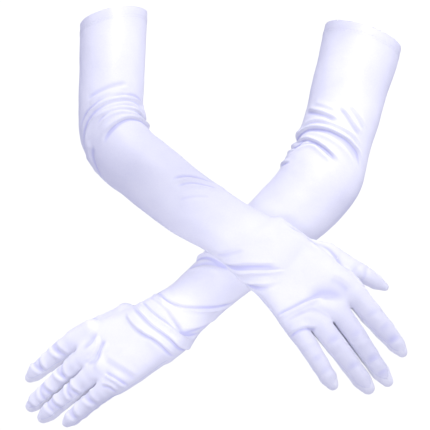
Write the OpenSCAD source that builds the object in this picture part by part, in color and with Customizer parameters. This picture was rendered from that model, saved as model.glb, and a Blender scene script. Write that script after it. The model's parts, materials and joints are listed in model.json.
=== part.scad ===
// Opera gloves: a pair of stretch-satin gloves that reach past the elbow.
// They keep the shape that they take on two bent arms, the right one in front of the left one.
// The origin is the centre of the right glove's opening, and +Z points up out of it.
// The backs of both hands face -Y. The left glove is the right one mirrored, with its own bends.
// Pairs of values are for the right glove and the left glove, in that order.

/* [Pair] */
// Distance between the two gloves, front to back
layer_gap = 77; // [77:1:140]
// Sideways place of the left glove's opening
left_x = 260; // [240:1:320]
// Height of the left glove's opening over the right one's
left_z = 9; // [-20:1:30]
// Lean of the left upper sleeve from upright
left_lean = 14.9; // [0:0.1:18]

/* [Sleeves] */
// Outer radius at the openings
cuff_r = [35.5, 39.5]; // [33:0.5:40]
// Outer radius just above the elbows
elbow_r = [33.5, 37]; // [31:0.5:38]
// Outer radius of the forearms below the elbows
forearm_r = [31.5, 35.5]; // [31:0.5:37]
// Outer radius of the forearms above the wrists
wrist_r = [31, 27]; // [26:0.5:32]
// Length from the opening to the middle of the elbow
upper_len = [139, 162]; // [120:1:170]
// Length from the middle of the elbow to the wrist
forearm_len = [198, 233]; // [180:1:250]
// Bend of the elbows from straight
elbow_bend = [55.3, 33]; // [20:0.1:60]

/* [Cloth] */
// Thickness of one layer of satin
cloth_t = 1; // [0.8:0.1:1.2]
// Depth of the turned hem at the openings
hem_h = 12; // [10:1:16]
// Thickness of the rubber band inside the hem
elastic_t = 0.8; // [0.6:0.1:1]
// Length of one stitch
stitch_len = 3.4; // [2:0.1:4]
// Number of stitches round a hem
stitch_count = 36; // [24:1:40]
// Width of the inside seam's allowance
seam_w = 5; // [3:0.5:7]

/* [Folds] */
// Length of gathered sleeve on each side of the elbow's middle
elbow_reach = 50; // [46:1:54]
// Length of gathered sleeve on each side of the wrist
wrist_reach = 22; // [20:1:24]
// Number of folds over an elbow and round a wrist
fold_count = [6, 4]; // [3:1:7]
// Depth of the folds over an elbow and round a wrist
fold_depth = [1.8, 1.2]; // [0.5:0.1:2.5]

/* [Hands] */
// Turn of the hands towards the little finger
wrist_turn = [14.7, -15.5]; // [-24:0.1:16]
// Bend of the wrists towards the palm
wrist_flex = [0, 22]; // [0:1:32]
// Roll of the hands, thumb side away from the backs' side
hand_roll = [0, 14]; // [0:1:20]
// Half width of the hand at the wrist and at the knuckles
hand_half_w = [37.5, 44.5]; // [29:0.1:46]
// Half thickness of the hand at the wrist and at the knuckles
hand_half_t = [22, 13.5]; // [12:0.1:23]
// Sideways shift of the hand's middle line to the thumb side, at the wrist and at the knuckles
hand_shift = [3.5, 2]; // [0:0.1:4]

/* [Fingers] */
// Place across the hand of the index, middle, ring and little finger
finger_x = [35.5, 10.7, -10.8, -31.5]; // [-32:0.5:37]
// Distance from wrist to knuckle
finger_base = [81.5, 87.5, 84, 73.5]; // [70:0.5:95]
// Length from knuckle to tip
finger_len = [81.5, 89, 85, 70]; // [55:0.5:95]
// Outer radius at the knuckle
finger_r = [11, 10.5, 10.2, 9.6]; // [9:0.1:11]
// Turn of the right glove's fingers towards the little finger side
right_splay = [2.6, 6.3, 4.8, 9.2]; // [0:0.1:10]
// Turn of the left glove's fingers towards the little finger side
left_splay = [-1, 0.5, -2, -1.5]; // [-3:0.1:6]
// Bend of the left glove's fingers towards the palm
left_finger_flex = [14, 17, 18, 18]; // [0:1:24]
// How much of the knuckle's radius is left at the fingertip
finger_taper = 0.74; // [0.7:0.01:0.8]
// Depth of the knuckle hinges under the middle of the finger
knuckle_depth = 6; // [5:0.5:7]
// Half of the angle that a side strip takes of a finger's girth
fourchette_half = 24; // [18:1:28]

/* [Thumbs] */
// Where the thumb leaves the hand: across, towards the palm, and from the wrist
thumb_base = [47.5, 12, 36.5]; // [10:0.5:48]
// Spread of the thumbs from the hand
thumb_spread = [19, 8]; // [0:0.5:24]
// Bend of the thumbs towards the palm
thumb_flex = [4, 12]; // [0:1:30]
// Length of the thumb stall from its hinge
thumb_len = 65; // [54:1:66]
// Outer radius of the thumb stall at its base
thumb_r = 10.5; // [9.5:0.1:11]

/* [Hidden] */
RIGHT = 0;
LEFT = 1;
INDEX = 0;
MIDDLE = 1;
RING = 2;
LITTLE = 3;
THUMB_SIDE = 0;     // directions round a finger, in degrees
LITTLE_SIDE = 180;
fit_gap = 0.2;      // between layers of one glove
joint_gap = 0.5;    // between a gathered stretch and the sleeve it meets
knuckle_gap = 4.2;  // from a knuckle's hinge line to the hand
stall_gap = 3;      // from a knuckle's hinge line to the finger stall
edge_deg = 2;       // from the hand's side seam line to a panel's edge
seam_inset = [2, 3];            // from a seam's upper and lower end to its sleeve's end
elastic_lift = 2;               // from the hem's inner edge to its elastic
hem_stitch_lift = 1;            // from the hem's inner edge to its stitches
thumb_hole_gap = 2.5;           // round the thumb stall, in the hand's hole for it
thumb_hole_reach = [-34, 18];   // of that hole, along the thumb from its hinge
past_hand_x = 60;               // across the hand, beyond both of its edges
knuckle_drop = [4, 6];          // of the knuckles' line there, little and index side
round_fn = 64;
fold_steps = 4;     // rings in one fold
ring_sides = 24;
panel_rows = 8;
panel_cols = 20;
tip_steps = 8;
tip_zone = 0.22;    // share of a finger's length that its strips leave free
hem_inner = 2 * cloth_t + 2 * fit_gap + elastic_t;
knuckle_line = [
    [-past_hand_x, finger_base[LITTLE] - knuckle_drop[0]],
    [finger_x[LITTLE], finger_base[LITTLE]],
    [finger_x[RING], finger_base[RING]],
    [finger_x[MIDDLE], finger_base[MIDDLE]],
    [finger_x[INDEX], finger_base[INDEX]],
    [past_hand_x, finger_base[INDEX] - knuckle_drop[1]]
];

function mix(a, b, t) = a + (b - a) * t;
function rot_x(v, a) = [v.x, v.y * cos(a) - v.z * sin(a), v.y * sin(a) + v.z * cos(a)];
function rot_y(v, a) = [v.x * cos(a) + v.z * sin(a), v.y, -v.x * sin(a) + v.z * cos(a)];
function rot_z(v, a) = [v.x * cos(a) - v.y * sin(a), v.x * sin(a) + v.y * cos(a), v.z];
function hand_turned(g, v) = rot_y(rot_x(rot_z(v, hand_roll[g]), wrist_flex[g]), wrist_turn[g]);
function splay(g) = g == RIGHT ? right_splay : left_splay;
function finger_flex(g, k) = g == RIGHT ? 0 : left_finger_flex[k];

// ---- Frames. Each one's -Z points down the arm, +X to the inside of the elbow, +Y to the palm ----

module upper_frame(g) {
    if (g == RIGHT) children();
    else translate([left_x, layer_gap, left_z]) rotate([0, left_lean, 0]) mirror([1, 0, 0]) children();
}

module forearm_frame(g) {
    upper_frame(g) translate([0, 0, -upper_len[g]]) rotate([0, -elbow_bend[g], 0]) children();
}

module hand_frame(g) {
    forearm_frame(g) translate([0, 0, -forearm_len[g]])
        rotate([0, wrist_turn[g], 0]) rotate([wrist_flex[g], 0, 0])
            rotate([0, 0, hand_roll[g]]) children();
}

module finger_frame(g, k) {
    hand_frame(g) translate([finger_x[k], knuckle_depth, -finger_base[k]])
        rotate([0, splay(g)[k], 0]) rotate([finger_flex(g, k), 0, 0])
            translate([0, -knuckle_depth, 0]) children();
}

module thumb_frame(g) {
    hand_frame(g) translate([thumb_base.x, thumb_base.y, -thumb_base.z])
        rotate([0, -thumb_spread[g], 0]) rotate([thumb_flex[g], 0, 0]) children();
}

// ---- Shells ----

// A wall between two matching grids of points: rows run down the arm. closed joins the last
// column to the first, so that the wall is a tube.
module wall(outer, inner, closed) {
    rows = len(outer);
    cols = len(outer[0]);
    last = closed ? cols - 1 : cols - 2;
    half = rows * cols;
    function at(side, i, j) = side * half + i * cols + j % cols;
    points = [for (grid = [outer, inner], row = grid, p = row) p];
    skins = [for (side = [0, 1], i = [0:rows - 2], j = [0:last])
        let (q = [at(side, i, j), at(side, i, j + 1), at(side, i + 1, j + 1), at(side, i + 1, j)])
        side == 0 ? q : [q[3], q[2], q[1], q[0]]];
    ends = [for (i = [0, rows - 1], j = [0:last])
        let (q = [at(0, i, j), at(1, i, j), at(1, i, j + 1), at(0, i, j + 1)])
        i == 0 ? q : [q[3], q[2], q[1], q[0]]];
    sides = closed ? [] : [for (j = [0, cols - 1], i = [0:rows - 2])
        let (q = [at(0, i, j), at(0, i + 1, j), at(1, i + 1, j), at(1, i, j)])
        j == 0 ? q : [q[3], q[2], q[1], q[0]]];
    polyhedron(points, concat(skins, ends, sides), convexity = 6);
}

// Points of one ring round a centre, with half widths a along u and b along v.
function ring(centre, u, v, a, b) =
    [for (j = [0:ring_sides - 1])
        let (w = -360 * j / ring_sides) centre + a * cos(w) * u + b * sin(w) * v];

// The wave of the folds, which dies out towards both ends of a gathered stretch.
function fold(t, count, depth) = depth * sin(360 * count * t) * sin(180 * t);

module tube(r_top, r_bottom, z_top, z_bottom) {
    rotate_extrude($fn = round_fn)
        polygon([[r_top, z_top], [r_bottom, z_bottom],
                 [r_bottom - cloth_t, z_bottom], [r_top - cloth_t, z_top]]);
}

// A seam allowance that lies inside a tube, on its outer-elbow side.
module seam_strip(r_top, r_bottom, z_top, z_bottom) {
    in = cloth_t + fit_gap;
    half_deg = asin(seam_w / 2 / r_bottom);
    rotate([0, 0, 180 - half_deg])
        rotate_extrude(angle = 2 * half_deg, $fn = round_fn)
            polygon([[r_top - in, z_top], [r_bottom - in, z_bottom],
                     [r_bottom - in - cloth_t, z_bottom], [r_top - in - cloth_t, z_top]]);
}

// ---- Sleeve ----

upper_top = -hem_h - joint_gap;

module upper_sleeve(g) {
    color("ghostwhite") upper_frame(g)
        tube(cuff_r[g], elbow_r[g], upper_top, -upper_len[g] + elbow_reach + joint_gap);
}

module upper_seam(g) {
    color("lavender") upper_frame(g)
        seam_strip(cuff_r[g], elbow_r[g], upper_top - seam_inset[0],
                   -upper_len[g] + elbow_reach + seam_inset[1]);
}

// The satin turned in on itself: two layers and the fold over them.
module cuff_hem(g) {
    r = cuff_r[g];
    color("white") upper_frame(g) rotate_extrude($fn = round_fn)
        polygon([[r, -hem_h], [r, 0], [r - hem_inner, 0], [r - hem_inner, -hem_h],
                 [r - hem_inner + cloth_t, -hem_h], [r - hem_inner + cloth_t, -cloth_t],
                 [r - cloth_t, -cloth_t], [r - cloth_t, -hem_h]]);
}

module cuff_elastic(g) {
    r = cuff_r[g] - cloth_t - fit_gap;
    color("whitesmoke") upper_frame(g) rotate_extrude($fn = round_fn)
        polygon([[r, -hem_h + elastic_lift], [r, -cloth_t - fit_gap],
                 [r - elastic_t, -cloth_t - fit_gap], [r - elastic_t, -hem_h + elastic_lift]]);
}

module hem_stitching(g) {
    stitch_r = 0.35;
    color("thistle") upper_frame(g) for (i = [0:stitch_count - 1])
        rotate([0, 0, 360 * i / stitch_count])
            translate([cuff_r[g] + stitch_r + 2 * fit_gap, 0, -hem_h + hem_stitch_lift])
                rotate([90, 0, 0]) cylinder(h = stitch_len, r = stitch_r, center = true, $fn = 6);
}

// The middle line of the elbow's stretch is an arc that touches both sleeves' axes.
module elbow_gather(g) {
    bend = elbow_bend[g];
    arc_r = elbow_reach / tan(bend / 2);
    end_deg = joint_gap / arc_r * 180 / PI;
    count = fold_count[0];
    steps = count * fold_steps;
    function rings(in) = [for (i = [0:steps])
        let (t = i / steps, a = mix(end_deg, bend - end_deg, t),
             r = mix(elbow_r[g], forearm_r[g], t) + fold(t, count, fold_depth[0]) - in)
        ring([arc_r * (1 - cos(a)), 0, elbow_reach - upper_len[g] - arc_r * sin(a)],
             [cos(a), 0, sin(a)], [0, 1, 0], r, r)];
    color("ghostwhite") upper_frame(g) wall(rings(0), rings(cloth_t), true);
}

forearm_top = -elbow_reach - joint_gap;

module forearm_sleeve(g) {
    color("ghostwhite") forearm_frame(g)
        tube(forearm_r[g], wrist_r[g], forearm_top, -forearm_len[g] + wrist_reach + joint_gap);
}

module forearm_seam(g) {
    color("lavender") forearm_frame(g)
        seam_strip(forearm_r[g], wrist_r[g], forearm_top - seam_inset[0],
                   -forearm_len[g] + wrist_reach + seam_inset[1]);
}

// The wrist's stretch goes from the forearm's round end to the hand's oval one.
module wrist_gather(g) {
    wrist = [0, 0, -forearm_len[g]];
    reach = wrist_reach - joint_gap;
    start = wrist + [0, 0, reach];
    finish = wrist + hand_turned(g, [hand_shift[0], 0, -reach]);
    count = fold_count[1];
    steps = count * fold_steps;
    function rings(in) = [for (i = [0:steps])
        let (t = i / steps, f = fold(t, count, fold_depth[1]) - in)
        ring(mix(mix(start, wrist, t), mix(wrist, finish, t), t),
             mix([1, 0, 0], hand_turned(g, [1, 0, 0]), t),
             mix([0, 1, 0], hand_turned(g, [0, 1, 0]), t),
             mix(wrist_r[g], hand_half_w[0], t) + f, mix(wrist_r[g], hand_half_t[0], t) + f)];
    color("lavender") forearm_frame(g) wall(rings(0), rings(cloth_t), true);
}

// ---- Hand ----

// A point of the hand's skin: w round the section, from the thumb side, down share s of its length.
function skin(w, s, in, way) =
    let (end = lookup(hand_shift[1] + hand_half_w[1] * cos(w), knuckle_line) - knuckle_gap,
         z = mix(wrist_reach, end, s),
         t = (z - wrist_reach) / (finger_base[MIDDLE] - wrist_reach),
         a = mix(hand_half_w[0], hand_half_w[1], sin(90 * t)) - in,
         b = mix(hand_half_t[0], hand_half_t[1], t) - in)
    [mix(hand_shift[0], hand_shift[1], t) + a * cos(w), way * b * sin(w), -z];

// Half of the hand's shell, on the palm side (way = 1) or the back (way = -1), less the thumb hole.
module hand_panel(g, way) {
    function grid(in) = [for (i = [0:panel_rows])
        [for (j = [0:panel_cols])
            let (w = mix(edge_deg, 180 - edge_deg, way > 0 ? 1 - j / panel_cols : j / panel_cols))
            skin(w, i / panel_rows, in, way)]];
    difference() {
        hand_frame(g) wall(grid(0), grid(cloth_t), false);
        thumb_frame(g) translate([0, 0, thumb_hole_reach[0]])
            cylinder(h = thumb_hole_reach[1] - thumb_hole_reach[0], r = thumb_r + thumb_hole_gap,
                     $fn = round_fn);
    }
}

module hand_back(g) {
    color("ghostwhite") hand_panel(g, -1);
}

module hand_palm(g) {
    color("lavender") hand_panel(g, 1);
}

// ---- Fingers ----

// Half section of a finger's wall from z_top down to its round tip, or to z_end if that is given.
function stall_outline(r, length, z_top, in) =
    let (tip_r = r * finger_taper)
    concat([[r - in, z_top]],
           [for (i = [0:tip_steps])
               let (w = 90 * i / tip_steps)
               [(tip_r - in) * cos(w), -length + tip_r - (tip_r - in) * sin(w)]]);

function reversed(list) = [for (i = [len(list) - 1:-1:0]) list[i]];

module stall_shell(r, length, deg = 360) {
    rotate_extrude(angle = deg, $fn = round_fn)
        polygon(concat(stall_outline(r, length, -stall_gap, 0),
                       reversed(stall_outline(r, length, -stall_gap, cloth_t))));
}

// The wall's radius at depth z, on the straight part of a finger.
function stall_r(r, length, z) =
    mix(r, r * finger_taper, (z - stall_gap) / (length - r * finger_taper - stall_gap));

// A piece of the straight wall that is centred on direction side, half_deg wide each way.
module stall_strip(r, length, side, half_deg, z0, z1, out) {
    r0 = stall_r(r, length, z0);
    r1 = stall_r(r, length, z1);
    rotate([0, 0, side - half_deg])
        rotate_extrude(angle = 2 * half_deg, $fn = round_fn)
            polygon([[r0 + out, -z0], [r1 + out, -z1],
                     [r1 - cloth_t - out, -z1], [r0 - cloth_t - out, -z0]]);
}

// A finger stall with a slot in each of its sides that a fourchette closes.
module finger_stall(g, k, sides) {
    r = finger_r[k];
    length = finger_len[k];
    slot_over = 0.5;
    color("ghostwhite") finger_frame(g, k) difference() {
        stall_shell(r, length);
        for (side = sides)
            stall_strip(r, length, side, fourchette_half, stall_gap - slot_over,
                        length * (1 - tip_zone), slot_over);
    }
}

module fourchette(g, k, side) {
    edge = 1;
    color("lavender") finger_frame(g, k)
        stall_strip(finger_r[k], finger_len[k], side, fourchette_half - edge, stall_gap,
                    finger_len[k] * (1 - tip_zone) - edge, 0);
}

module thumb_stall(g) {
    color("ghostwhite") thumb_frame(g) stall_shell(thumb_r, thumb_len);
}

// The thread line round the base of the thumb stall.
module thumb_seam(g) {
    thread_r = 0.5;
    color("thistle") thumb_frame(g) translate([0, 0, -stall_gap - 2 * thread_r])
        rotate_extrude($fn = round_fn)
            translate([thumb_r + thread_r + fit_gap, 0]) circle(r = thread_r, $fn = 16);
}

upper_sleeve(RIGHT);  // right_upper_sleeve
cuff_hem(RIGHT);  // right_cuff_hem
cuff_elastic(RIGHT);  // right_cuff_elastic
hem_stitching(RIGHT);  // right_hem_stitching
upper_seam(RIGHT);  // right_upper_seam
elbow_gather(RIGHT);  // right_elbow_gather
forearm_sleeve(RIGHT);  // right_forearm_sleeve
forearm_seam(RIGHT);  // right_forearm_seam
wrist_gather(RIGHT);  // right_wrist_gather
hand_back(RIGHT);  // right_hand_back
hand_palm(RIGHT);  // right_hand_palm
thumb_seam(RIGHT);  // right_thumb_seam
thumb_stall(RIGHT);  // right_thumb_stall
finger_stall(RIGHT, INDEX, [LITTLE_SIDE]);  // right_index_stall
finger_stall(RIGHT, MIDDLE, [THUMB_SIDE, LITTLE_SIDE]);  // right_middle_stall
finger_stall(RIGHT, RING, [THUMB_SIDE, LITTLE_SIDE]);  // right_ring_stall
finger_stall(RIGHT, LITTLE, [THUMB_SIDE]);  // right_little_stall
fourchette(RIGHT, INDEX, LITTLE_SIDE);  // right_index_fourchette
fourchette(RIGHT, MIDDLE, THUMB_SIDE);  // right_middle_fourchette_thumb_side
fourchette(RIGHT, MIDDLE, LITTLE_SIDE);  // right_middle_fourchette_little_side
fourchette(RIGHT, RING, THUMB_SIDE);  // right_ring_fourchette_thumb_side
fourchette(RIGHT, RING, LITTLE_SIDE);  // right_ring_fourchette_little_side
fourchette(RIGHT, LITTLE, THUMB_SIDE);  // right_little_fourchette
upper_sleeve(LEFT);  // left_upper_sleeve
cuff_hem(LEFT);  // left_cuff_hem
cuff_elastic(LEFT);  // left_cuff_elastic
hem_stitching(LEFT);  // left_hem_stitching
upper_seam(LEFT);  // left_upper_seam
elbow_gather(LEFT);  // left_elbow_gather
forearm_sleeve(LEFT);  // left_forearm_sleeve
forearm_seam(LEFT);  // left_forearm_seam
wrist_gather(LEFT);  // left_wrist_gather
hand_back(LEFT);  // left_hand_back
hand_palm(LEFT);  // left_hand_palm
thumb_seam(LEFT);  // left_thumb_seam
thumb_stall(LEFT);  // left_thumb_stall
finger_stall(LEFT, INDEX, [LITTLE_SIDE]);  // left_index_stall
finger_stall(LEFT, MIDDLE, [THUMB_SIDE, LITTLE_SIDE]);  // left_middle_stall
finger_stall(LEFT, RING, [THUMB_SIDE, LITTLE_SIDE]);  // left_ring_stall
finger_stall(LEFT, LITTLE, [THUMB_SIDE]);  // left_little_stall
fourchette(LEFT, INDEX, LITTLE_SIDE);  // left_index_fourchette
fourchette(LEFT, MIDDLE, THUMB_SIDE);  // left_middle_fourchette_thumb_side
fourchette(LEFT, MIDDLE, LITTLE_SIDE);  // left_middle_fourchette_little_side
fourchette(LEFT, RING, THUMB_SIDE);  // left_ring_fourchette_thumb_side
fourchette(LEFT, RING, LITTLE_SIDE);  // left_ring_fourchette_little_side
fourchette(LEFT, LITTLE, THUMB_SIDE);  // left_little_fourchette
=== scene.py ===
"""A pair of long white satin gloves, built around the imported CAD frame."""
import json
import math

import bmesh
import bpy
import numpy as np
import openvdb
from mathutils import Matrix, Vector
from mathutils.bvhtree import BVHTree


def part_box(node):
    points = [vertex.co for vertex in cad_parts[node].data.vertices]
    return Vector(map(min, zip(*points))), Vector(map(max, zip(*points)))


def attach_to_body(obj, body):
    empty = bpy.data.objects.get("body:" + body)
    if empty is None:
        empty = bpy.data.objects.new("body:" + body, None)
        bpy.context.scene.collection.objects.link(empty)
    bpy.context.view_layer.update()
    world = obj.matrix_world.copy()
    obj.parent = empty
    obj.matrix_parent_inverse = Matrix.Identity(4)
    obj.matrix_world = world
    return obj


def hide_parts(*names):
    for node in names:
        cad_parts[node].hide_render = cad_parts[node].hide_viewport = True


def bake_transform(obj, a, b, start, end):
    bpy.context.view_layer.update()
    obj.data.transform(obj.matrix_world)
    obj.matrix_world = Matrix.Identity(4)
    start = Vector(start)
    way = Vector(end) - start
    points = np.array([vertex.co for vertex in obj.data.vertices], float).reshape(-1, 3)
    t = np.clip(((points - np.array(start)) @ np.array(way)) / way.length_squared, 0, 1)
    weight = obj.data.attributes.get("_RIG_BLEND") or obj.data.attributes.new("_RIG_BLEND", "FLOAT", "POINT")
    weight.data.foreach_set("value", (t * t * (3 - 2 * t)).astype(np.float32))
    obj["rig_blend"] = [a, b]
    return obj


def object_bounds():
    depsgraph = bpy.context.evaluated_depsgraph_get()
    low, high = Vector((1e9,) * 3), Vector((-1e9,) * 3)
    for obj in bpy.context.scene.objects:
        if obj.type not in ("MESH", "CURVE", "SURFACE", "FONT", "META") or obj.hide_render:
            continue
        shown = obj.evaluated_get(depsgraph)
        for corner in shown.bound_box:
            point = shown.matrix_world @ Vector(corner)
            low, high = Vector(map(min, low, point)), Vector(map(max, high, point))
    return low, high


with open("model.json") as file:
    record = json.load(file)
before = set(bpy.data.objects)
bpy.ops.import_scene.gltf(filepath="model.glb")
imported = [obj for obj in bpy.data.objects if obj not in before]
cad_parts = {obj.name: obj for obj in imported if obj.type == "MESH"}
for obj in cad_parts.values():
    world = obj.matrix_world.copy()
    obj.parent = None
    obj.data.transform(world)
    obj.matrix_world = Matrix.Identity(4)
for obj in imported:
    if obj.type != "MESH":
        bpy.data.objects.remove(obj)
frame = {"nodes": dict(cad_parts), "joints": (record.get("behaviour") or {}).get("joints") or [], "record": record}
CAD_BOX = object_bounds()

MM = 0.001
VOXEL = 1.1     # mm, the size of the mesh of the cloth
SIDES = ("right", "left")
FINGERS = ("index", "middle", "ring", "little")
JOINTS = {j["name"]: j for j in frame["joints"]}
MOUNTS = {m["name"]: m for m in frame["record"]["mounts"]}

# ---- The glove's own measures, in mm, as in the CAD source ----

UPPER_LEN = {"right": 139.0, "left": 162.0}
FOREARM_LEN = {"right": 198.0, "left": 233.0}
HEM = 12.0
ELBOW_FILLET = 30.0       # how far from the elbow the arm starts to curve
ARM_ROUND = math.pi / 180 * 33     # mm round the arm for each degree
PIVOTS = {"index": (35.5, 6, -81.5), "middle": (10.7, 6, -87.5),
          "ring": (-10.8, 6, -84), "little": (-31.5, 6, -73.5), "thumb": (47.5, 12, -36.5)}

THUMB_TUCK = {"right": 0.0, "left": 9.0}       # how far the thumb's root is drawn in
KNUCKLE_DEPTH = 6.0       # how far the knuckle hinges lie to the palm side of the fingers' middle

# Distances from the arm's middle line to the cloth at places along it:
# (distance from the rim, outer side, inner side, half depth).
ARM_SHAPE = {
    "right": [(-30, 33.4, 35.6, 33), (0, 33.6, 35.2, 33), (45, 33.7, 33.6, 32.5),
              (87, 33.8, 31.8, 32), (107, 33.6, 33.8, 32.5), (137, 33.6, 36.6, 33),
              (170, 31.6, 36.0, 32), (185, 33.4, 34.4, 31.5), (213, 36.0, 30.6, 30.5),
              (235, 36.0, 29.2, 29.5), (256, 34.5, 29.0, 28), (275, 33.0, 28.8, 26.5),
              (291, 33.6, 29.6, 25.3), (311, 35.4, 31.8, 24.0), (333, 36.6, 33.6, 21.8),
              (352, 36.4, 34.5, 18.0)],
    "left": [(-30, 41.3, 42.0, 38), (0, 41.0, 41.9, 37.5), (23, 40.4, 41.2, 37),
             (54, 38.6, 39.8, 36.5), (87, 38.2, 37.8, 36), (112, 37.4, 38.4, 35.5),
             (140, 38.4, 41.0, 36), (161, 40.5, 43.5, 36.5), (181, 41.0, 41.0, 36),
             (197, 41.6, 38.0, 34.5), (219, 40.4, 35.6, 33), (250, 37.5, 32.0, 31),
             (290, 35.2, 27.6, 28.5), (326, 33.6, 24.0, 26), (349, 33.0, 22.8, 25),
             (375, 33.4, 23.0, 23.8), (393, 34.5, 25.2, 21.8), (410, 35.5, 27.5, 18.0)],
}
# The palm, from the wrist towards the knuckles:
# (distance, outer side, inner side, half depth, how far it sits to the palm side).
PALM_SHAPE = {
    "right": [(-30, 36, 31, 23, 0), (0, 36.4, 33, 21.5, 0), (20, 37.2, 36, 19, 0.5),
              (40, 37.8, 42, 17, 1), (60, 39.6, 46.0, 14.5, 1), (75, 41.4, 47.5, 12.8, 1),
              (90, 41.6, 47.6, 11.6, 1)],
    "left": [(-30, 35, 26, 23, 0), (0, 37, 28, 21.5, 0), (20, 40, 32.5, 19, 0.5),
             (40, 42.0, 37, 17, 1), (60, 42.4, 40.5, 14.5, 1), (75, 42.2, 43.5, 12.8, 1),
             (90, 42.0, 45.0, 11.6, 1)],
}
# Where the cloth between the fingers ends, across the hand: (place, distance from the wrist).
WEB_LINE = {
    "right": [(-48, 66), (-36, 74), (-20, 80), (-2, 88), (12, 90), (24, 87), (38, 84), (50, 78)],
    "left": [(-48, 66), (-36, 74), (-20, 80), (-2, 86), (12, 88), (24, 85), (38, 84), (50, 78)],
}
# Each finger's round sections: (share of its length, radius, how far it curves to the palm).
FINGER_SHAPE = {
    "index": [(-0.24, 10.8, 0), (0.05, 12.0, 0), (0.34, 11.2, -0.3),
              (0.62, 10.0, 0.2), (0.86, 8.6, 1.2), (1, 5.8, 2.0)],
    "middle": [(-0.22, 10.6, 0), (0.05, 11.6, 0), (0.34, 10.7, -0.3),
               (0.62, 9.7, 0.2), (0.86, 8.8, 1.2), (1, 6.3, 2.0)],
    "ring": [(-0.22, 10.4, 0), (0.05, 11.5, 0), (0.34, 10.7, -0.3),
             (0.62, 9.7, 0.2), (0.86, 8.8, 1.2), (1, 6.3, 2.0)],
    "little": [(-0.24, 9.8, 0), (0.05, 10.3, 0), (0.34, 9.8, -0.3),
               (0.62, 9.2, 0.2), (0.86, 8.3, 1.0), (1, 5.6, 1.8)],
    "thumb": [(-0.55, 12.2, -2), (-0.12, 11.0, 0), (0.22, 9.6, 0.2),
              (0.52, 9.0, 0), (0.82, 7.6, 0.4), (1, 4.4, 0.8)],
}
# How far past its knuckle each finger's own cloth starts, clear of the webs.
FINGER_START = {"index": 12.0, "middle": 8.0, "ring": 9.0, "little": 13.0, "thumb": 4.0}
BEND_REACH = {"index": 20.0, "middle": 20.0, "ring": 20.0, "little": 18.0, "thumb": 16.0}
FINGER_GAP = 2.0          # mm between neighbouring fingers
FOURCHETTE_HALF = 4.2     # half the depth of the strip between the fingers
STALLS = FINGERS + ("thumb",)
HEEL = (np.array([-17, 9, -16.0]), np.array([-25, 7, -58.0]), 15, 12)   # of the hand: a round cone
# How softly the solids inside the cloth run into each other, as a reach in mm.
SOFT = {"arm end": 6, "arm to hand": 10, "web": 7, "hand end": 6, "heel": 8, "finger": 5, "thumb": 7,
        "phalanx": 1.5}
FIELD_EDGE = 16           # mm of grid outside the CAD nodes
PAST_RIM = 24             # mm that the arm's solid goes on past the rim, and the hand's past the wrist
PAST_WRIST = 14

# ---- Local frames ----


class Place:
    """A local frame: its axes as columns and its origin, in mm."""

    def __init__(self, axes, origin):
        self.axes = np.array(axes, float)
        self.origin = np.array(origin, float)

    def local(self, points):
        return (np.asarray(points) - self.origin) @ np.linalg.inv(self.axes).T

    def world(self, points):
        return np.asarray(points) @ self.axes.T + self.origin


def unit(v):
    v = np.array(v, float)
    return v / np.linalg.norm(v)


def joint_place(name):
    return np.array(JOINTS[name]["pos_m"]) / MM


def planar_place(origin, up, side):
    """An arm frame: local z runs up the arm, y to the palm side, x to the inner side."""
    y = np.array([0, 1.0, 0])
    x = np.cross(y, up) * (1 if side == "right" else -1)
    return Place(np.stack([x, y, up], 1), origin)


def tip_of(node, pivot):
    """The middle of the last mm of a CAD node, seen from a pivot."""
    co = np.array([v.co[:] for v in frame["nodes"][node].data.vertices]) / MM
    away = np.linalg.norm(co - pivot, axis=1)
    return co[away > away.max() - 1.0].mean(0)


def find_places(side):
    """The frames of a glove's sleeve, forearm, hand, fingers and thumb."""
    places = {}
    mount = MOUNTS[f"{side}_cuff"]
    rim, up = np.array(mount["pos_m"]) / MM, unit(mount["axis"])
    elbow, wrist = joint_place(f"{side}_elbow"), joint_place(f"{side}_wrist")
    places["upper"] = planar_place(rim, up, side)
    places["forearm"] = planar_place(elbow, unit(elbow - wrist), side)
    flat = np.array([PIVOTS[n] for n in PIVOTS], float)
    real = np.array([joint_place(f"{side}_{n}_knuckle") for n in PIVOTS]) - wrist
    axes = real.T @ flat @ np.linalg.inv(flat.T @ flat)
    places["hand"] = Place(axes, wrist)
    for n in PIVOTS:
        root = joint_place(f"{side}_{n}_knuckle")
        tip = tip_of(f"{side}_{n}_stall", root)
        places[n] = finger_place(side, n, root, tip, places["hand"])
        if n != "thumb":
            root = root - places[n].axes[:, 1] * KNUCKLE_DEPTH
            places[n] = finger_place(side, n, root, tip, places["hand"])
    return places


def finger_place(side, name, root, tip, hand):
    """A finger's frame, from the middle of its root to its tip."""
    z = unit(root - tip)
    x = np.array(JOINTS[f"{side}_{name}_knuckle"]["axis"], float)
    x = unit(x - (x @ z) * z)
    x = x if x @ hand.axes[:, 0] > 0 else -x
    y = np.cross(z, x) * (1 if side == "right" else -1)
    place = Place(np.stack([x, y, z], 1), root)
    place.length = float(np.linalg.norm(tip - root))
    return place


# ---- The arm's middle line ----


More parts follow.
